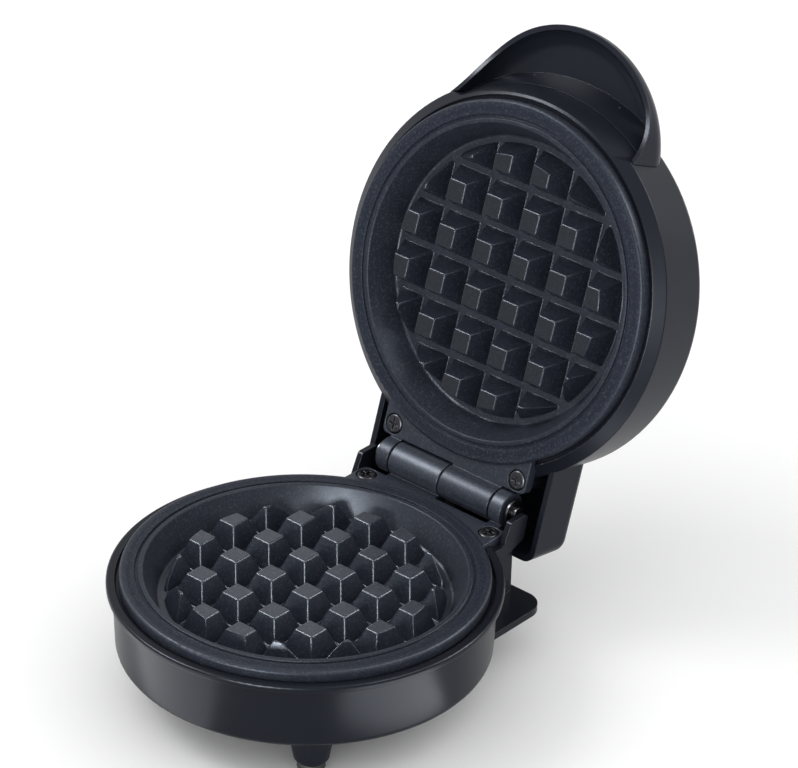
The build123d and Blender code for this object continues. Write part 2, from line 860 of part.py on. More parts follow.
def lid_shell():
    """The lid casing in one moulding with its rear block."""
    shell = lid_drum() + lid_block() + recess_pad() - finger_recess()
    notch_half = leaf_half_width + leaf_notch_gap
    notch = slab(
        (-notch_half, notch_half), (leaf_root_setback, lid_block_setback - block_wall), (leaf_underside, overrun)
    )
    shell -= notch & disc(lid_wall_rim_radius + overrun, leaf_underside, overrun)
    window = slab(
        (-wire_window_half_width, wire_window_half_width),
        (leaf_root_setback, hinge_setback),
        (-lid_block_depth + block_wall, -wire_window_top_drop),
    )
    shell -= window
    shell -= along_hinge(barrel_radius + barrel_sweep_gap, (-notch_half, notch_half), lid_hinge_rise)
    inner_top = -lid_depth + casing_wall
    leaf_foot = leaf_head_seat - leaf_screw_length
    for place in leaf_screw_places:
        shell += boss(place, -lid_block_depth + block_wall, leaf_underside, leaf_screw_shank_diameter)
        shell -= pilot(place, leaf_foot - overrun, overrun, leaf_screw_shank_diameter)
    for x in tab_places:
        shell += boss(tab_screw_place(x), inner_top, -handle_tab_drop - handle_tab_thickness,
                      small_shank_diameter)
        shell -= pilot(tab_screw_place(x), inner_top, -handle_tab_drop, small_shank_diameter)
        shell -= handle_tab(x, handle_tab_gap)
    lens = Pos(0, -lens_setback, 0) * disc(lens_diameter / 2 + lens_fit_gap, -lid_depth - overrun, inner_top)
    return shell - lens


def tab_screw_place(x):
    return (x, -tab_inner_setback() - handle_tab_length / 3)


def handle_tab(x, gap):
    """A tongue of the handle that passes through the lid's wall."""
    half = handle_tab_width / 2
    outer_setback = lid_wall_radius(handle_tab_drop) + handle_tab_root
    return slab(
        (x - half - gap, x + half + gap),
        (-outer_setback, -tab_inner_setback() + gap),
        (-handle_tab_drop - handle_tab_thickness - gap, -handle_tab_drop + gap),
    )


def handle_blank(radius, top, edge):
    """A round-topped plug that stands on the handle's centre."""
    plug = disc(radius, -top, overrun)
    plug = fillet(plug.edges().group_by(Axis.Z)[0], edge)
    return Pos(0, -handle_centre_setback, 0) * plug


def lid_handle():
    """The scoop that wraps the front of the lid: a round wall, a roof and a back that leans out."""
    inner_edge = handle_edge_round - handle_wall
    shell = handle_blank(handle_radius, handle_top_drop, handle_edge_round)
    shell -= handle_blank(handle_radius - handle_wall, handle_roof_drop, inner_edge)
    shell -= lid_solid(handle_seat_gap)
    # The lip is level round the front and sweeps down to the lid's rim at both ends
    front = handle_centre_setback + handle_radius + overrun
    shell -= side_cut([
        (handle_radius, -lid_rim_drop, 0),
        (-handle_end_setback, -lid_rim_drop, 0),
        (-handle_lip_setback, -handle_lip_drop, handle_lip_bend),
        (-front, -handle_lip_drop, 0),
        (-front, overrun * 2, 0),
        (handle_radius, overrun * 2, 0),
    ], handle_radius + overrun)
    # The back, between the lid's wall and the fingers
    half_wall = handle_wall / 2
    back = finger_cone() & handle_blank(
        handle_radius - half_wall, handle_top_drop - half_wall, handle_edge_round - half_wall)
    handle = shell + (back - lid_solid(handle_seat_gap))
    handle -= slab(
        (-handle_radius - overrun, handle_radius + overrun),
        (-handle_centre_setback, handle_radius),
        (-lid_depth, overrun),
    )
    for x in tab_places:
        px, py = tab_screw_place(x)
        hole = screw_hole(small_shank_diameter, -lid_depth, -handle_tab_drop + overrun)
        handle += handle_tab(x, 0) - Pos(px, py, 0) * hole
    return handle


def handle_screws():
    places = [tab_screw_place(x) for x in tab_places]
    return group([Pos(x, y, -handle_tab_drop) * small_screw(handle_tab_thickness + boss_wall)
                  for x, y in places])


# Heating elements, clamps and shields

def heating_element():
    """The sheathed tube that loops under the plate, with a cold pin at each end."""
    leg, half = element_leg_half_spacing, element_half_width
    points = [
        (-leg, element_end_setback, element_centre),
        (-leg, element_neck_setback, element_centre),
        (-half, element_shoulder_setback, element_centre),
        (-half, -half, element_centre),
        (half, -half, element_centre),
        (half, element_shoulder_setback, element_centre),
        (leg, element_neck_setback, element_centre),
        (leg, element_end_setback, element_centre),
    ]
    corner = half - element_leg_bend
    bends = [element_neck_bend, element_shoulder_bend, corner, corner, element_shoulder_bend, element_neck_bend]
    loop = tube(points, bends, element_diameter)
    for side in (-1, 1):
        start = (side * leg, element_end_setback - overrun, element_centre)
        end = (side * leg, element_end_setback + cold_pin_length, element_centre)
        loop += rod(start, end, cold_pin_diameter)
    return loop


def element_clamp():
    """A bent strap over the element tube, drawn at the middle of the plate."""
    pad = plate_underside - clamp_pad_height
    hump_half = element_diameter / 2 + clamp_gap
    outer_half = hump_half + clamp_thickness
    end = outer_half + clamp_foot_length
    low = element_centre - element_diameter / 2 - clamp_gap - clamp_thickness
    width = (-clamp_width / 2, clamp_width / 2)
    strap = slab((-end, end), width, (pad - clamp_thickness, pad))
    strap += slab((-outer_half, outer_half), width, (low, pad))
    strap -= slab((-hump_half, hump_half), (-clamp_width, clamp_width), (low + clamp_thickness, pad + overrun))
    for side in (-1, 1):
        hole = screw_hole(small_shank_diameter, pad - clamp_thickness - overrun, pad + overrun)
        strap -= Pos(side * clamp_foot_offset(), 0, 0) * hole
    return strap


def element_clamps():
    one = element_clamp()
    return group([Pos(x, y, 0) * Rot(0, 0, turn) * one for x, y, turn in clamp_places()])


def hung_screw(place, seat, length=small_screw_length):
    """A small screw driven upwards, with its head under a seat height."""
    x, y = place
    return Pos(x, y, seat) * Rot(180, 0, 0) * small_screw(length)


def clamp_screws():
    seat = plate_underside - clamp_pad_height - clamp_thickness
    length = clamp_thickness + clamp_pad_height - seat_gap
    return group([hung_screw(place, seat, length) for place in clamp_screw_places()])


def heat_shield():
    """A thin tray that keeps the heat on the plate side."""
    top = -shield_drop
    low = top - shield_thickness
    shield = turned([
        (shield_hole_radius, low, 0),
        (shield_radius, low, 0),
        (shield_radius, top + shield_rim_height, 0),
        (shield_radius - shield_thickness, top + shield_rim_height, 0),
        (shield_radius - shield_thickness, top, 0),
        (shield_hole_radius, top, 0),
    ])
    for x, y in post_places():
        shield -= Pos(x, y, 0) * screw_hole(small_shank_diameter, low - overrun, top + overrun)
    return shield


def shield_screws():
    seat = -shield_drop - shield_thickness
    return group([hung_screw(place, seat, small_screw_length - overrun) for place in post_places()])


# Thermostat

thermostat_foot = plate_underside - thermostat_height - thermostat_cap_height


def thermostat():
    """The round switch that is held against the middle of the lower plate."""
    body = disc(thermostat_diameter / 2, plate_underside - thermostat_height, plate_underside)
    body += disc(thermostat_cap_diameter / 2, thermostat_foot, plate_underside - thermostat_height)
    half_width = thermostat_blade_width / 2
    half_thickness = thermostat_blade_thickness / 2
    for side in (-1, 1):
        x = side * thermostat_blade_spacing / 2
        body += slab(
            (x - half_thickness, x + half_thickness),
            (-half_width, half_width),
            (thermostat_foot - thermostat_blade_length, thermostat_foot),
        )
    return body


def strap_seat():
    return plate_underside - thermostat_height


def thermostat_strap():
    """The flat strap that two screws pull up against the thermostat."""
    seat = strap_seat()
    half = strap_length / 2
    strap = slab((-half, half), (-strap_width / 2, strap_width / 2), (seat - strap_thickness, seat))
    strap += disc(strap_opening / 2 + strap_ring_width, seat - strap_thickness, seat)
    strap -= disc(strap_opening / 2, seat - strap_thickness - overrun, seat + overrun)
    for x, y in strap_places():
        strap -= Pos(x, y, 0) * screw_hole(
            small_shank_diameter, seat - strap_thickness - overrun, seat + overrun)
    return strap


def strap_screws():
    seat = strap_seat() - strap_thickness
    return group([hung_screw(place, seat) for place in strap_places()])


# Thermal fuse

def fuse_centre():
    return plate_underside - fuse_diameter / 2


def fuse_clip_screw_place():
    foot = fuse_diameter / 2 + fuse_grip_gap + fuse_clip_thickness + fuse_clip_foot / 2
    return (foot - fuse_offset, fuse_setback)


def thermal_fuse():
    """The one-shot fuse that lies against the plate, with a lead at each end."""
    x, y, z = -fuse_offset, fuse_setback, fuse_centre()
    half = fuse_length / 2
    reach = half + fuse_lead_length
    body = rod((x, y - half, z), (x, y + half, z), fuse_diameter)
    return body + rod((x, y - reach, z), (x, y + reach, z), fuse_lead_diameter)


def fuse_clip():
    """A bent clip over the fuse, screwed down at one side."""
    wall = fuse_clip_thickness
    grip = fuse_diameter / 2 + fuse_grip_gap
    x = -fuse_offset
    along = (fuse_setback - fuse_clip_width / 2, fuse_setback + fuse_clip_width / 2)
    past = (fuse_setback - fuse_clip_width, fuse_setback + fuse_clip_width)
    low = plate_underside - fuse_diameter - fuse_grip_gap - wall
    pad = plate_underside - clamp_pad_height
    clip = slab((x - grip - wall, x + grip + wall), along, (low, plate_underside - seat_gap))
    clip -= slab((x - grip, x + grip), past, (low + wall, plate_underside))
    clip += slab((x + grip, x + grip + wall + fuse_clip_foot), along, (pad - wall, pad))
    clip -= slab((x - grip, x + grip), past, (low + wall, plate_underside))
    px, py = fuse_clip_screw_place()
    return clip - Pos(px, py, 0) * screw_hole(small_shank_diameter, pad - wall - overrun, pad + overrun)


def fuse_clip_screw():
    seat = plate_underside - clamp_pad_height - fuse_clip_thickness
    return hung_screw(fuse_clip_screw_place(), seat, clamp_pad_height)


# Terminal block, inlet bushing and lamp

terminal_floor = cover_seat + cover_rim_thickness


def way_places():
    pitch = terminal_width / terminal_ways
    return [(way - (terminal_ways - 1) / 2) * pitch for way in range(terminal_ways)]


def terminal_block():
    """The three-way block where the supply is joined to the inner wires."""
    half_width, half_depth = terminal_width / 2, terminal_depth / 2
    block = slab(
        (-half_width, half_width),
        (terminal_setback - half_depth, terminal_setback + half_depth),
        (terminal_floor, terminal_floor + terminal_height),
    )
    middle = terminal_floor + terminal_height / 2
    for x in way_places():
        hole = Pos(x, terminal_setback, middle) * Rot(90, 0, 0)
        block -= hole * Cylinder(terminal_bore_diameter / 2, terminal_depth + overrun)
        well_top = terminal_floor + terminal_height
        block -= Pos(x, terminal_setback, 0) * disc(
            terminal_screw_diameter / 2 + pin_running_gap, well_top - terminal_height / 4, well_top + overrun)
    return block


def terminal_screws():
    top = terminal_floor + terminal_height
    seat = top - terminal_height / 4
    solids = []
    for x in way_places():
        head = disc(terminal_screw_diameter / 2, seat, top - pin_running_gap)
        head -= slab(
            (-terminal_screw_diameter, terminal_screw_diameter),
            (-cross_slot_width / 2, cross_slot_width / 2),
            (seat + cross_slot_depth, top + overrun),
        )
        solids.append(Pos(x, terminal_setback, 0) * head)
    return group(solids)


def inlet_bushing():
    """The flanged rubber bushing where the supply cord enters the spool's rear wall."""
    half_bore = bushing_bore / 2
    groove = bushing_outer / 2
    flange = bushing_flange_diameter / 2
    body = turned([
        (half_bore, -block_wall - bushing_tail, 0),
        (groove, -block_wall - bushing_tail, 0),
        (groove, 0, 0),
        (flange, 0, 0),
        (flange, bushing_flange_thickness, bushing_flange_thickness / 2),
        (half_bore, bushing_flange_thickness, bushing_flange_thickness / 3),
    ])
    return Pos(0, spool_rear_setback, -inlet_drop) * Rot(-90, 0, 0) * body


def lamp_lens():
    """The small round window of the ready lamp in the top of the lid."""
    inner_top = -lid_depth + casing_wall
    lens = turned([
        (0, -lid_depth - lens_rise, 0),
        (lens_diameter / 2, -lid_depth - lens_rise, lens_rise / 2),
        (lens_diameter / 2, inner_top, 0),
        (lens_flange_diameter / 2, inner_top, 0),
        (lens_flange_diameter / 2, inner_top + lens_flange_thickness, 0),
        (0, inner_top + lens_flange_thickness, 0),
    ])
    return Pos(0, -lens_setback, 0) * lens


def lamp_top():
    return -lid_depth + casing_wall + lens_flange_thickness


def ready_lamp():
    """The small lamp that stands on its window, with two leads."""
    top = lamp_top() + lamp_length
    bulb = disc(lamp_diameter / 2, lamp_top(), top)
    bulb = fillet(bulb.edges().group_by(Axis.Z)[0], lamp_diameter / 4)
    for side in (-1, 1):
        x = side * lamp_lead_spacing / 2
        bulb += rod((x, 0, top - overrun), (x, 0, top + lamp_lead_length), lamp_lead_diameter)
    return Pos(0, -lens_setback, 0) * bulb


# Wires

def wire(points):
    return tube(points, wire_bend, wire_diameter)


def element_pin_end():
    return element_end_setback + cold_pin_length + wire_end_gap


def base_wires():
    """The wires of the base, from the terminal block to the thermostat and the element."""
    way = terminal_width / terminal_ways / 2
    front = terminal_setback - terminal_depth / 2
    inside = front + wire_inlet_depth
    middle = terminal_floor + terminal_height / 2
    run = -wire_run_drop
    blade = thermostat_blade_spacing / 2
    blade_edge = thermostat_blade_width / 2 + wire_end_gap
    blade_height = thermostat_foot - thermostat_blade_length / 2
    rise_start = shield_hole_radius - wire_bend * 2 - overrun
    rise_end = blade_edge + wire_bend
    leg = element_leg_half_spacing
    turn_back = front - wire_bend / 4
    cross_back = element_pin_end() + wire_bend * 1.2
    to_thermostat = wire([
        (-way, inside, middle),
        (-way, front - wire_bend / 4, middle),
        (-way, front - wire_bend, run),
        (-way, shield_hole_radius, run),
        (-blade, rise_start, run),
        (-blade, rise_end, blade_height),
        (-blade, blade_edge, blade_height),
    ])
    from_thermostat = wire([
        (blade, blade_edge, blade_height),
        (blade, rise_end, blade_height),
        (blade, rise_start, run),
        (leg, shield_hole_radius + wire_bend, run),
        (leg, turn_back, run),
        (leg, turn_back, element_centre),
        (leg, element_pin_end(), element_centre),
    ])
    to_element = wire([
        (way, inside, middle),
        (way, front - wire_bend * 0.7, middle),
        (-leg, cross_back, element_centre),
        (-leg, element_pin_end(), element_centre),
    ])
    return {
        "wire_supply_to_thermostat": to_thermostat,
        "wire_thermostat_to_element": from_thermostat,
        "wire_supply_to_element": to_element,
    }


def fuse_wire():
    """The wire of the lid, from the thermal fuse to the element."""
    leg = element_leg_half_spacing
    turn_back = element_pin_end() + wire_bend * 1.5
    start = fuse_setback + fuse_length / 2 + fuse_lead_length + wire_end_gap
    return wire([
        (-fuse_offset, start, fuse_centre()),
        (-fuse_offset, turn_back, fuse_centre()),
        (-leg, turn_back, element_centre),
        (-leg, element_pin_end(), element_centre),
    ])


# Every named piece of the object

def base_pieces():
    pieces = {
        "base_housing": base_housing(),
        "bottom_cover": bottom_cover(),
        "bottom_cover_screws": cover_screws(),
        "lower_cooking_plate": cooking_plate(
            hinge_rise, [(x, y, strap_seat()) for x, y in strap_places()]),
        "lower_plate_screws": leaf_screws(),
        "lower_heating_element": heating_element(),
        "lower_element_clamps": element_clamps(),
        "lower_clamp_screws": clamp_screws(),
        "lower_heat_shield": heat_shield(),
        "lower_shield_screws": shield_screws(),
        "thermostat": thermostat(),
        "thermostat_strap": thermostat_strap(),
        "thermostat_strap_screws": strap_screws(),
        "terminal_block": terminal_block(),
        "terminal_screws": terminal_screws(),
        "cord_inlet_bushing": inlet_bushing(),
        "hinge_pin": hinge_pin(),
        "hinge_pin_clip": pin_clip(),
    }
    tip = foot_tip()
    for name, (x, y) in zip(foot_names, foot_places):
        pieces["rubber_foot_" + name] = Pos(x, y, 0) * tip
    pieces.update(base_wires())
    return pieces


def lid_pieces():
    fuse_pad = [(*fuse_clip_screw_place(), plate_underside - clamp_pad_height)]
    return {
        "lid_shell": lid_shell(),
        "lid_handle": lid_handle(),
        "lid_handle_screws": handle_screws(),
        "upper_cooking_plate": cooking_plate(lid_hinge_rise, fuse_pad),
        "upper_plate_screws": leaf_screws(),
        "upper_heating_element": heating_element(),
        "upper_element_clamps": element_clamps(),
        "upper_clamp_screws": clamp_screws(),
        "upper_heat_shield": heat_shield(),
        "upper_shield_screws": shield_screws(),
        "thermal_fuse": thermal_fuse(),
        "thermal_fuse_clip": fuse_clip(),
        "thermal_fuse_clip_screw": fuse_clip_screw(),
        "ready_lamp_lens": lamp_lens(),
        "ready_lamp": ready_lamp(),
        "wire_fuse_to_element": fuse_wire(),
    }


def main():
    os.makedirs("parts", exist_ok=True)
    for pieces, place in ((base_pieces(), in_base), (lid_pieces(), in_lid)):
        for name, shape in pieces.items():
            export_step(place(shape), os.path.join("parts", name + ".step"))


if __name__ == "__main__":
    main()
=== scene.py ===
"""Mini waffle maker: finishes, camera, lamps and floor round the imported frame."""
import math

import bpy
from mathutils import Matrix, Vector

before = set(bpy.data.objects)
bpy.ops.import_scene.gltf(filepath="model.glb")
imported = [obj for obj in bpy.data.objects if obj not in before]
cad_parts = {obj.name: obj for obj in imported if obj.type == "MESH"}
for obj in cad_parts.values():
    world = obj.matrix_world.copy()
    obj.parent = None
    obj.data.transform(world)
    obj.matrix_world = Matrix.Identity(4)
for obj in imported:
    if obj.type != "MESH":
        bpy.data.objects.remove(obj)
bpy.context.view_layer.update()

bl_info = {
    "name": "Mini Waffle Maker",
    "version": (1, 0, 0),
    "blender": (4, 5, 0),
    "location": "View3D > Sidebar > Waffle Maker",
    "description": "Dresses the mini waffle maker and sets it on its stage",
    "category": "Object",
}

# The middle of each plate's stud tops, and the way that they face
LOWER_MIDDLE = (0.0, 0.0, 0.0395)
LOWER_AXIS = (0.0, 0.0, 1.0)
UPPER_MIDDLE = (0.0, 0.085982, 0.107023)
UPPER_AXIS = (0.0, -0.956305, 0.292372)

# Distances from a plate's middle over which its ring starts, the ring ends and the studs end
RING_START = (0.0500, 0.0512)
RING_END = (0.0556, 0.0566)
FIELD_END = (0.0440, 0.0445)
# Heights above the stud tops between which a stud's side gives way to its flat top
TOP_START = (-0.00025, -0.00005)

# How strongly the plate's matt ring mirrors, and how much rougher the coating is past the studs
RING_GLOSS = 0.04
ROUGHER_PAST_FIELD = 0.13

# The bluish tint of what the coating and the mouldings mirror
COATING_TINT = (0.78, 0.87, 1.0, 1.0)
PLASTIC_TINT = (0.84, 0.90, 1.0, 1.0)

WHITE = (1.0, 1.0, 1.0, 1.0)

# Where the far lamps point, and how far they stand from there
LAMP_TARGET = (0.0, 0.04, 0.08)
LAMP_DISTANCE = 1.5
# Far lamps: name, way from the target, sides for each metre of distance
KEY_LAMP = ("key", (-0.563, -0.42, 0.71), (0.45, 0.40))
# The same, and each lamp's share of the edge lamps' brightness
EDGE_LAMPS = (
    ("upper_left", (-0.58, -0.36, 0.73), (0.36, 0.36), 1.0),
    ("over_right", (0.50, 0.15, 0.85), (0.40, 0.40), 0.35),
    ("front_edge", (0.28, -0.94, 0.22), (0.36, 0.20), 2.4),
    ("rear_right", (0.55, 0.66, 0.50), (0.32, 0.40), 0.7),
)
# Panels that face up from the table: name, middle, sides, share of the table lamps' brightness
TABLE_LAMPS = (
    ("table_left", (-0.038, -0.100, 0.001), (0.09, 0.07), 0.5),
    ("table_right", (0.110, -0.018, 0.001), (0.07, 0.07), 1.0),
)

SENSOR_WIDTH = 36.0
NEAREST_SEEN = 0.05
FARTHEST_SEEN = 20.0


# Sizes and colours a user would change

class CoatingSettings(bpy.types.PropertyGroup):
    """The non-stick coating of the cooking plates."""

    dark: bpy.props.FloatVectorProperty(
        name="Coating", description="Colour of the coating",
        subtype="COLOR", size=3, default=(0.0180, 0.0215, 0.0330), min=0.0, max=1.0)
    fleck: bpy.props.FloatVectorProperty(
        name="Grain colour", description="Colour of the lighter grain",
        subtype="COLOR", size=3, default=(0.040, 0.045, 0.057), min=0.0, max=1.0)
    # The stud tops' colour is a painted sheen: paler than the sides, in place of the light that the
    # tops catch.
    top: bpy.props.FloatVectorProperty(
        name="Stud tops", description="Colour of the coating on the studs' flat tops",
        subtype="COLOR", size=3, default=(0.036, 0.040, 0.052), min=0.0, max=1.0)
    roughness: bpy.props.FloatProperty(
        name="Roughness", description="Roughness of the coating",
        default=0.29, min=0.0, max=1.0)
    gloss: bpy.props.FloatProperty(
        name="Gloss", description="How strongly the coating mirrors",
        default=0.30, min=0.0, max=1.0)
    grain: bpy.props.FloatProperty(
        name="Grain", description="Size of the sprayed grain",
        default=0.0007, min=0.0001, max=0.01, unit="LENGTH")


class PlasticSettings(bpy.types.PropertyGroup):
    """The satin black mouldings."""

    colour: bpy.props.FloatVectorProperty(
        name="Plastic", description="Colour of the casing",
        subtype="COLOR", size=3, default=(0.0080, 0.0092, 0.0145), min=0.0, max=1.0)
    roughness: bpy.props.FloatProperty(
        name="Roughness", description="Roughness of the casing",
        default=0.30, min=0.0, max=1.0)
    gloss: bpy.props.FloatProperty(
        name="Gloss", description="How strongly the casing mirrors",
        default=0.11, min=0.0, max=1.0)
    grain: bpy.props.FloatProperty(
        name="Grain", description="Size of the moulded grain",
        default=0.00035, min=0.0001, max=0.01, unit="LENGTH")


class StageSettings(bpy.types.PropertyGroup):
    """Camera, lamps and floor."""

    azimuth: bpy.props.FloatProperty(
        name="Azimuth", description="Turn of the camera round the object",
        default=math.radians(40.374), subtype="ANGLE")
    elevation: bpy.props.FloatProperty(
        name="Elevation", description="Height angle of the camera",
        default=math.radians(29.657), subtype="ANGLE")
    roll: bpy.props.FloatProperty(
        name="Roll", description="Tilt of the camera about its own axis",
        default=math.radians(1.713), subtype="ANGLE")
    distance: bpy.props.FloatProperty(
        name="Distance", description="Distance from the plate's middle",
        default=1.280189, unit="LENGTH")
    shift_right: bpy.props.FloatProperty(
        name="Right", description="Camera offset to its right",
        default=0.028592, unit="LENGTH")
    shift_up: bpy.props.FloatProperty(
        name="Up", description="Camera offset upwards",
        default=0.057587, unit="LENGTH")
    lens: bpy.props.FloatProperty(
        name="Lens", description="Focal length in millimetres",
        default=188.321, min=1.0)
    stud_top: bpy.props.FloatProperty(
        name="Stud top", description="Height of the lower plate's stud tops",
        default=LOWER_MIDDLE[2], unit="LENGTH")
    floor_colour: bpy.props.FloatVectorProperty(
        name="Floor", description="Colour of the floor",
        subtype="COLOR", size=3, default=(0.95, 0.95, 0.95), min=0.0, max=1.0)
    key_power: bpy.props.FloatProperty(
        name="Key lamp", description="Brightness of the soft lamp high at the front left",
        default=3.0, min=0.0)
    edge_power: bpy.props.FloatProperty(
        name="Edge lamps", description="Brightness of the narrow lamps that draw the edges",
        default=46.0, min=0.0)
    table_power: bpy.props.FloatProperty(
        name="Table lamps",
        description="Brightness of the panels that lie on the table beside the base",
        default=7.0, min=0.0)
    world_strength: bpy.props.FloatProperty(
        name="World", description="Strength of the even light all round",
        default=1.0, min=0.0)


# Materials

def scaled(colour, factor):
    """A colour made paler or darker by a factor."""
    return [channel * factor for channel in colour]


class Nodes:
    """A short way to add and join the nodes of one material."""

    def __init__(self, name):
        self.material = bpy.data.materials.new(name)
        self.material.use_nodes = True
        self.tree = self.material.node_tree
        self.tree.nodes.clear()
        self.shader = self.add("ShaderNodeBsdfPrincipled")
        self.end = self.add("ShaderNodeOutputMaterial")
        self.join(self.shader.outputs["BSDF"], self.end.inputs["Surface"])
        self.place = self.add("ShaderNodeTexCoord").outputs["Object"]

    def add(self, kind, **values):
        node = self.tree.nodes.new(kind)
        for key, value in values.items():
            setattr(node, key, value)
        return node

    def join(self, output, socket):
        self.tree.links.new(output, socket)

    def noise(self, size, detail=2.0, roughness=0.5):
        """Noise whose blotches are about one size across."""
        node = self.add("ShaderNodeTexNoise")
        node.inputs["Scale"].default_value = 1.0 / size
        node.inputs["Detail"].default_value = detail
        node.inputs["Roughness"].default_value = roughness
        self.join(self.place, node.inputs["Vector"])
        return node.outputs["Fac"]

    def cells(self, size):
        """Distance to the middle of the nearest cell, with cells of about one size."""
        node = self.add("ShaderNodeTexVoronoi")
        node.inputs["Scale"].default_value = 1.0 / size
        self.join(self.place, node.inputs["Vector"])
        return node.outputs["Distance"]

    def from_middle(self, centre, axis):
        """Distance from an axis through a centre, and the height along it."""
        offset = self.vector("SUBTRACT", self.place, centre).outputs["Vector"]
        across = self.vector("CROSS_PRODUCT", offset, axis).outputs["Vector"]
        reach = self.vector("LENGTH", across).outputs["Value"]
        return reach, self.vector("DOT_PRODUCT", offset, axis).outputs["Value"]

    def vector(self, operation, first, second=None):
        """One step of vector arithmetic, with a fixed second vector where it takes two."""
        node = self.add("ShaderNodeVectorMath", operation=operation)
        self.join(first, node.inputs[0])
        if second is not None:
            node.inputs[1].default_value = second
        return node

    def combine(self, operation, first, second):
        """The sum, product or the like of two values."""
        node = self.add("ShaderNodeMath", operation=operation)
        self.join(first, node.inputs[0])
        self.join(second, node.inputs[1])
        return node.outputs["Value"]

    def ramp(self, value, stops):
        """A share between 0 and 1 that follows stops along a value."""
        node = self.add("ShaderNodeValToRGB")
        elements = node.color_ramp.elements
        while len(elements) < len(stops):
            elements.new(0.5)
        for element, (place, share) in zip(elements, stops):
            element.position = place
            element.color = (share, share, share, 1.0)
        self.join(value, node.inputs["Fac"])
        return node.outputs["Color"]

    def span(self, value, low, high, start=0.0, end=1.0):
        """Maps a value between a start and an end onto a span."""
        node = self.add("ShaderNodeMapRange")
        node.inputs["From Min"].default_value = start
        node.inputs["From Max"].default_value = end
        node.inputs["To Min"].default_value = low
        node.inputs["To Max"].default_value = high
        self.join(value, node.inputs["Value"])
        return node.outputs["Result"]

    def blend(self, share, first, second):
        """Mixes two colours, each fixed or from a node."""
        node = self.add("ShaderNodeMix", data_type="RGBA")
        self.join(share, node.inputs[0])
        for socket, colour in ((node.inputs[6], first), (node.inputs[7], second)):
            if isinstance(colour, bpy.types.NodeSocket):
                self.join(colour, socket)
            else:
                socket.default_value = (*colour, 1.0)
        return node.outputs[2]

    def bump(self, height, depth, strength, under=None):
        """Bumps that follow a height, over the normal of what lies under them."""
        node = self.add("ShaderNodeBump")
        node.inputs["Strength"].default_value = strength
        node.inputs["Distance"].default_value = depth
        self.join(height, node.inputs["Height"])
        if under is not None:
            self.join(under, node.inputs["Normal"])
        return node.outputs["Normal"]

    def round_edges(self, radius):
        """A normal that makes sharp edges look rounded."""
        node = self.add("ShaderNodeBevel", samples=6)
        node.inputs["Radius"].default_value = radius
        return node.outputs["Normal"]

    def finish(self, **values):
        """Gives the shader its values, and returns the material."""
        for name, value in values.items():
            socket = self.shader.inputs[name.replace("_", " ")]
            if isinstance(value, bpy.types.NodeSocket):
                self.join(value, socket)
            else:
                socket.default_value = value
        return self.material


def coating_material(name, settings, centre, axis, sheen_paleness, shine):
    """Sprayed non-stick coating: bluish black and finely grained, and matt on the plate's ring.

    The paleness given scales the stud tops' painted sheen, a paler colour in place of the light
    falling on them, and shine scales how strongly the coating mirrors.
    """
    n = Nodes(name)
    cloud = n.noise(size=0.012, detail=3.0)
    ground = n.blend(cloud, scaled(settings.dark, 0.85), scaled(settings.dark, 1.2))
    specks = n.noise(settings.grain, detail=1.0, roughness=0.4)
    flecks = n.ramp(specks, [(0.52, 0.0), (0.70, 1.0)])
    reach, rise = n.from_middle(centre, axis)
    ring = n.ramp(reach, [(RING_START[0], 0.0), (RING_START[1], 1.0),
                          (RING_END[0], 1.0), (RING_END[1], 0.0)])
    field = n.ramp(reach, [(FIELD_END[0], 1.0), (FIELD_END[1], 0.0)])
    flat = n.span(rise, low=0.0, high=1.0, start=TOP_START[0], end=TOP_START[1])
    # Painted sheen: the studs' flat tops get a paler colour in place of the light that falls on
    # them.
    sheen_tops = n.combine("MULTIPLY", field, flat)
    sides = n.blend(flecks, ground, settings.fleck)
    top = scaled(settings.top, sheen_paleness)
    colour = n.blend(sheen_tops, sides, n.blend(flecks, top, scaled(top, 1.7)))
    grain = n.bump(n.noise(settings.grain, roughness=0.6), depth=0.00008, strength=0.30,
                   under=n.round_edges(radius=0.0006))
    swell = n.bump(n.noise(size=0.004), depth=0.0002, strength=0.05, under=grain)
    even = n.span(field, low=settings.roughness + ROUGHER_PAST_FIELD, high=settings.roughness)
    patches = n.span(n.noise(size=0.003), low=-0.04, high=0.04)
    rough = n.combine("ADD", even, patches)
    gloss = n.span(ring, low=settings.gloss * shine, high=RING_GLOSS)
    return n.finish(Base_Color=colour, Roughness=rough, Normal=swell, Specular_IOR_Level=gloss,
                    Specular_Tint=COATING_TINT)


def plastic_material(name, settings, lift=1.0, roughness_lift=0.0):
    """Satin black moulding with a fine spark-eroded grain.

    Lift scales the casing's colour; where it pales the lid and the handle it is painted light,
    lighter copies of the one moulding. The roughness lift is added to its roughness.
    """
    n = Nodes(name)
    dark = scaled(settings.colour, lift)
    colour = n.blend(n.noise(size=0.03, detail=3.0), scaled(dark, 0.88), scaled(dark, 1.12))
    grain = n.bump(n.noise(settings.grain, roughness=0.6), depth=0.00004, strength=0.22,
                   under=n.round_edges(radius=0.0003))
    middle = settings.roughness + roughness_lift
    rough = n.span(n.noise(size=0.02, detail=4.0, roughness=0.6),
                   low=middle - 0.03, high=middle + 0.04)
    return n.finish(Base_Color=colour, Roughness=rough, Normal=grain,
                    Specular_IOR_Level=settings.gloss, Specular_Tint=PLASTIC_TINT)


def rubber_material():
    """Matt black rubber."""
    n = Nodes("foot_rubber")
    colour = n.blend(n.noise(size=0.004, detail=4.0), (0.008, 0.008, 0.008), (0.016, 0.016, 0.016))
    grain = n.bump(n.noise(size=0.0005, detail=3.0, roughness=0.7), depth=0.0001, strength=0.3,
                   under=n.round_edges(radius=0.0003))
    rough = n.span(n.noise(size=0.002), low=0.6, high=0.75)
    return n.finish(Base_Color=colour, Roughness=rough, Normal=grain)


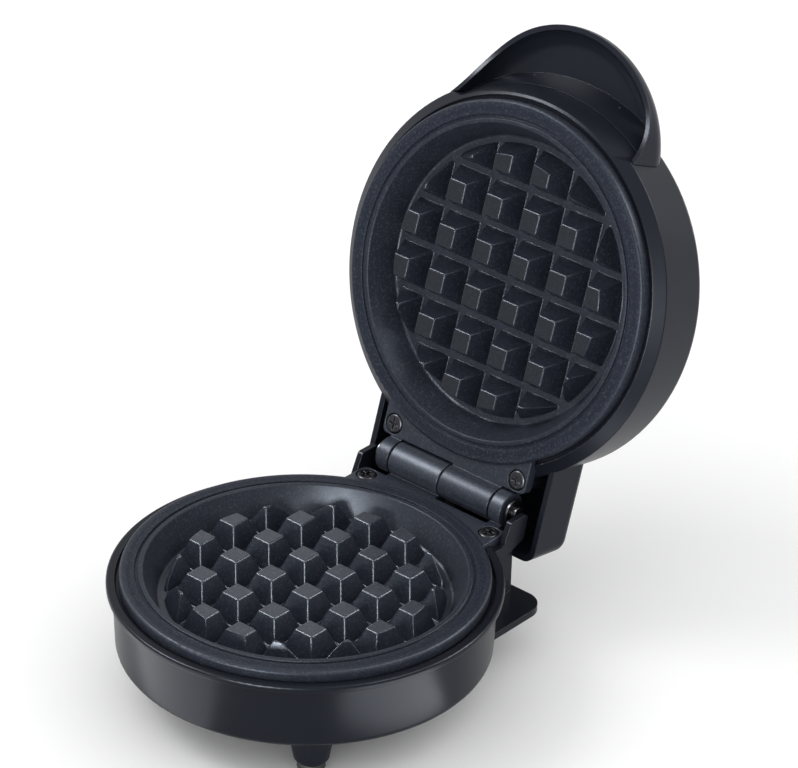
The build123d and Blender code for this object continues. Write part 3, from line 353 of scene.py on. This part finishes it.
def metal_material(name, colour, roughness, grain=0.0008):
    """Bare or plated metal with a faintly drawn surface."""
    n = Nodes(name)
    tone = n.blend(n.noise(size=0.004, detail=4.0, roughness=0.6), scaled(colour, 0.75), colour)
    lines = n.bump(n.noise(grain, detail=4.0, roughness=0.7), depth=0.00005, strength=0.25,
                   under=n.round_edges(radius=0.0002))
    rough = n.span(n.noise(size=0.002, detail=3.0), low=roughness - 0.06, high=roughness + 0.08)
    return n.finish(Base_Color=tone, Roughness=rough, Metallic=1.0, Normal=lines)


def moulding_material(name, colour, roughness):
    """Plain coloured moulding for the hidden parts."""
    n = Nodes(name)
    tone = n.blend(n.noise(size=0.006, detail=3.0), scaled(colour, 0.85), colour)
    grain = n.bump(n.noise(size=0.0006), depth=0.00006, strength=0.2,
                   under=n.round_edges(radius=0.0002))
    rough = n.span(n.noise(size=0.004), low=roughness - 0.05, high=roughness + 0.05)
    return n.finish(Base_Color=tone, Roughness=rough, Normal=grain)


def sleeve_material(name, colour):
    """Braided heatproof sleeving."""
    n = Nodes(name)
    weave = n.cells(size=0.0006)
    tone = n.blend(n.span(weave, low=0.0, high=1.0), colour, scaled(colour, 0.55))
    ridges = n.bump(weave, depth=0.0002, strength=0.6)
    return n.finish(Base_Color=tone, Roughness=0.85, Normal=ridges)


def clear_material(name, grain, low_colour, high_colour, roughness, clearness):
    """Smooth moulding or glass that lets light through."""
    n = Nodes(name)
    tone = n.blend(n.noise(grain), low_colour, high_colour)
    return n.finish(Base_Color=tone, Roughness=roughness, Transmission_Weight=clearness,
                    Normal=n.round_edges(radius=0.0002))


def cover(material, *names):
    """Gives a CAD node a finish in place of its plain one."""
    for name in names:
        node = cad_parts[name]
        if not node.material_slots:
            node.data.materials.append(material)
        for slot in node.material_slots:
            slot.material = material


# Operators

class WAFFLE_OT_finish_plates(bpy.types.Operator):
    """Coat both cooking plates"""

    bl_idname = "waffle.finish_plates"
    bl_label = "Coat the cooking plates"

    def execute(self, context):
        settings = context.scene.waffle_coating
        lower = coating_material("lower_coating", settings, LOWER_MIDDLE, LOWER_AXIS,
                                 sheen_paleness=1.0, shine=1.0)
        cover(lower, "lower_cooking_plate")
        # Both plates are one casting; the upper plate's stud tops are painted darker, a painted
        # shade for the lesser light on them.
        upper = coating_material("upper_coating", settings, UPPER_MIDDLE, UPPER_AXIS,
                                 sheen_paleness=0.32, shine=0.70)
        cover(upper, "upper_cooking_plate")
        return {"FINISHED"}


class WAFFLE_OT_finish_casings(bpy.types.Operator):
    """Finish the casings, the cover and the handle"""

    bl_idname = "waffle.finish_casings"
    bl_label = "Finish the casings"

    def execute(self, context):
        settings = context.scene.waffle_plastic
        cover(plastic_material("base_plastic", settings), "base_housing")
        # The lid and handle are the same moulding as the base, painted lighter in place of the
        # light that falls on them.
        cover(plastic_material("lid_plastic_painted_light", settings, lift=1.25), "lid_shell")
        cover(plastic_material("handle_plastic_painted_light", settings, lift=1.5), "lid_handle")
        cover(plastic_material("cover_plastic", settings, lift=1.2, roughness_lift=0.12),
              "bottom_cover")
        return {"FINISHED"}


class WAFFLE_OT_finish_feet(bpy.types.Operator):
    """Finish the rubber feet and the cord bushing"""

    bl_idname = "waffle.finish_feet"
    bl_label = "Finish the rubber parts"

    def execute(self, context):
        feet = [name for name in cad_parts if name.startswith("rubber_foot")]
        cover(rubber_material(), "cord_inlet_bushing", *feet)
        return {"FINISHED"}


class WAFFLE_OT_finish_metalwork(bpy.types.Operator):
    """Finish the pin, the screws and the inner metal parts"""

    bl_idname = "waffle.finish_metalwork"
    bl_label = "Finish the metalwork"

    def execute(self, context):
        cover(metal_material("blackened_screws", (0.035, 0.036, 0.04), roughness=0.34),
              "lower_plate_screws", "upper_plate_screws")
        cover(metal_material("pin_steel", (0.05, 0.05, 0.055), roughness=0.3),
              "hinge_pin", "hinge_pin_clip")
        cover(metal_material("plated_steel", (0.55, 0.56, 0.58), roughness=0.32),
              "bottom_cover_screws", "lower_element_clamps", "lower_clamp_screws",
              "lower_shield_screws", "thermostat_strap", "thermostat_strap_screws",
              "lid_handle_screws", "upper_element_clamps", "upper_clamp_screws",
              "upper_shield_screws", "thermal_fuse_clip", "thermal_fuse_clip_screw")
        cover(metal_material("element_sheath", (0.30, 0.28, 0.26), roughness=0.5),
              "lower_heating_element", "upper_heating_element", "thermal_fuse")
        cover(metal_material("shield_sheet", (0.78, 0.79, 0.80), roughness=0.25, grain=0.0015),
              "lower_heat_shield", "upper_heat_shield")
        cover(metal_material("terminal_brass", (0.72, 0.52, 0.22), roughness=0.3),
              "terminal_screws")
        return {"FINISHED"}


class WAFFLE_OT_finish_electrics(bpy.types.Operator):
    """Finish the thermostat, terminal block, lamp and wires"""

    bl_idname = "waffle.finish_electrics"
    bl_label = "Finish the electric parts"

    def execute(self, context):
        cover(moulding_material("thermostat_moulding", (0.05, 0.03, 0.02), roughness=0.4),
              "thermostat")
        cover(moulding_material("terminal_nylon", (0.78, 0.77, 0.72), roughness=0.45),
              "terminal_block")
        cover(clear_material("lamp_window", grain=0.002, low_colour=(0.42, 0.012, 0.008),
                             high_colour=(0.55, 0.02, 0.012), roughness=0.12, clearness=0.4),
              "ready_lamp_lens")
        cover(clear_material("lamp_glass", grain=0.003, low_colour=(0.85, 0.87, 0.9),
                             high_colour=(0.95, 0.96, 0.98), roughness=0.05, clearness=0.9),
              "ready_lamp")
        cover(sleeve_material("white_sleeve", (0.72, 0.71, 0.68)),
              "wire_supply_to_element", "wire_fuse_to_element")
        cover(sleeve_material("black_sleeve", (0.03, 0.03, 0.03)),
              "wire_supply_to_thermostat", "wire_thermostat_to_element")
        return {"FINISHED"}


class WAFFLE_OT_set_stage(bpy.types.Operator):
    """Set the floor, the lamps and the camera"""

    bl_idname = "waffle.set_stage"
    bl_label = "Set the stage"

    def execute(self, context):
        settings = context.scene.waffle_stage
        self.lay_floor(settings)
        self.light_world(context, settings)
        self.set_lamps(settings)
        self.place_camera(context, settings)
        context.scene.view_settings.view_transform = "Standard"
        return {"FINISHED"}

    def lay_floor(self, settings):
        n = Nodes("pale_floor")
        paint = n.finish(Base_Color=(*settings.floor_colour, 1.0), Roughness=0.9)
        bpy.ops.object.select_all(action="DESELECT")
        bpy.ops.mesh.primitive_circle_add(vertices=96, radius=3.0, fill_type="NGON")
        floor = bpy.context.object
        floor.name = "floor"
        floor.data.materials.append(paint)

    def light_world(self, context, settings):
        """Even light all round, and plain white for what the camera, gloss or glass sees of it."""
        world = bpy.data.worlds.new("studio")
        context.scene.world = world
        world.use_nodes = True
        tree = world.node_tree
        tree.nodes.clear()
        end = tree.nodes.new("ShaderNodeOutputWorld")
        path = tree.nodes.new("ShaderNodeLightPath")
        mix = tree.nodes.new("ShaderNodeMixShader")
        for socket, strength in ((mix.inputs[1], settings.world_strength), (mix.inputs[2], 1.0)):
            background = tree.nodes.new("ShaderNodeBackground")
            background.inputs["Color"].default_value = WHITE
            background.inputs["Strength"].default_value = strength
            tree.links.new(background.outputs[0], socket)
        seen = path.outputs["Is Camera Ray"]
        for ray in ("Is Glossy Ray", "Is Transmission Ray"):
            either = tree.nodes.new("ShaderNodeMath")
            either.operation = "MAXIMUM"
            tree.links.new(seen, either.inputs[0])
            tree.links.new(path.outputs[ray], either.inputs[1])
            seen = either.outputs[0]
        tree.links.new(seen, mix.inputs[0])
        tree.links.new(mix.outputs[0], end.inputs["Surface"])

    def set_lamps(self, settings):
        self.far_lamp(*KEY_LAMP, settings.key_power, lights_matt=True)
        for name, way, sides, share in EDGE_LAMPS:
            self.far_lamp(name, way, sides, settings.edge_power * share, lights_matt=False)
        down = Vector((0.0, 0.0, -1.0))
        for name, middle, sides, share in TABLE_LAMPS:
            self.lamp(name, Vector(middle), down, sides, settings.table_power * share,
                      lights_matt=False)

    def far_lamp(self, name, way, sides, brightness, lights_matt):
        """A lamp at the far lamps' distance, with its sides given for each metre of it."""
        way = Vector(way).normalized()
        middle = Vector(LAMP_TARGET) + way * LAMP_DISTANCE
        sides = [side * LAMP_DISTANCE for side in sides]
        self.lamp(name, middle, way, sides, brightness, lights_matt)

    def lamp(self, name, middle, way, sides, brightness, lights_matt):
        """A soft lamp that faces back along its way, and may show in gloss alone."""
        data = bpy.data.lights.new(name, "AREA")
        data.shape = "RECTANGLE"
        data.size, data.size_y = sides
        data.energy = brightness * data.size * data.size_y * math.pi
        lamp = bpy.data.objects.new(name, data)
        bpy.context.scene.collection.objects.link(lamp)
        lamp.location = middle
        lamp.rotation_mode = "QUATERNION"
        lamp.rotation_quaternion = (-way).to_track_quat("-Z", "Y")
        lamp.visible_camera = False
        lamp.visible_diffuse = lights_matt

    def place_camera(self, context, settings):
        """Aims at the lower plate's middle, then tilts the camera and slides it sideways and up."""
        turn, height, roll = settings.azimuth, settings.elevation, settings.roll
        back = Vector((math.sin(turn) * math.cos(height), -math.cos(turn) * math.cos(height),
                       math.sin(height)))
        right = Vector((math.cos(turn), math.sin(turn), 0.0))
        up = back.cross(right)
        across = right * math.cos(roll) + up * math.sin(roll)
        rise = up * math.cos(roll) - right * math.sin(roll)
        data = bpy.data.cameras.new("camera")
        data.sensor_width = SENSOR_WIDTH
        data.lens = settings.lens
        data.clip_start, data.clip_end = NEAREST_SEEN, FARTHEST_SEEN
        camera = bpy.data.objects.new("camera", data)
        context.scene.collection.objects.link(camera)
        place = back * settings.distance + across * settings.shift_right + rise * settings.shift_up
        place.z += settings.stud_top
        facing = Matrix((across, rise, back)).transposed()
        camera.matrix_world = Matrix.Translation(place) @ facing.to_4x4()
        context.scene.camera = camera


OPERATORS = (
    WAFFLE_OT_finish_plates,
    WAFFLE_OT_finish_casings,
    WAFFLE_OT_finish_feet,
    WAFFLE_OT_finish_metalwork,
    WAFFLE_OT_finish_electrics,
    WAFFLE_OT_set_stage,
)


class WAFFLE_PT_panel(bpy.types.Panel):
    """Lists the steps of the waffle maker"""

    bl_idname = "WAFFLE_PT_panel"
    bl_label = "Waffle Maker"
    bl_space_type = "VIEW_3D"
    bl_region_type = "UI"
    bl_category = "Waffle Maker"

    def draw(self, context):
        for operator in OPERATORS:
            self.layout.operator(operator.bl_idname)


SETTINGS = (
    ("waffle_coating", CoatingSettings),
    ("waffle_plastic", PlasticSettings),
    ("waffle_stage", StageSettings),
)


def register():
    for name, group in SETTINGS:
        bpy.utils.register_class(group)
        setattr(bpy.types.Scene, name, bpy.props.PointerProperty(type=group))
    for operator in OPERATORS:
        bpy.utils.register_class(operator)
    bpy.utils.register_class(WAFFLE_PT_panel)


def unregister():
    bpy.utils.unregister_class(WAFFLE_PT_panel)
    for operator in reversed(OPERATORS):
        bpy.utils.unregister_class(operator)
    for name, group in reversed(SETTINGS):
        delattr(bpy.types.Scene, name)
        bpy.utils.unregister_class(group)


def main():
    register()
    for operator in OPERATORS:
        group, action = operator.bl_idname.split(".")
        getattr(getattr(bpy.ops, group), action)()


if __name__ == "__main__":
    main()
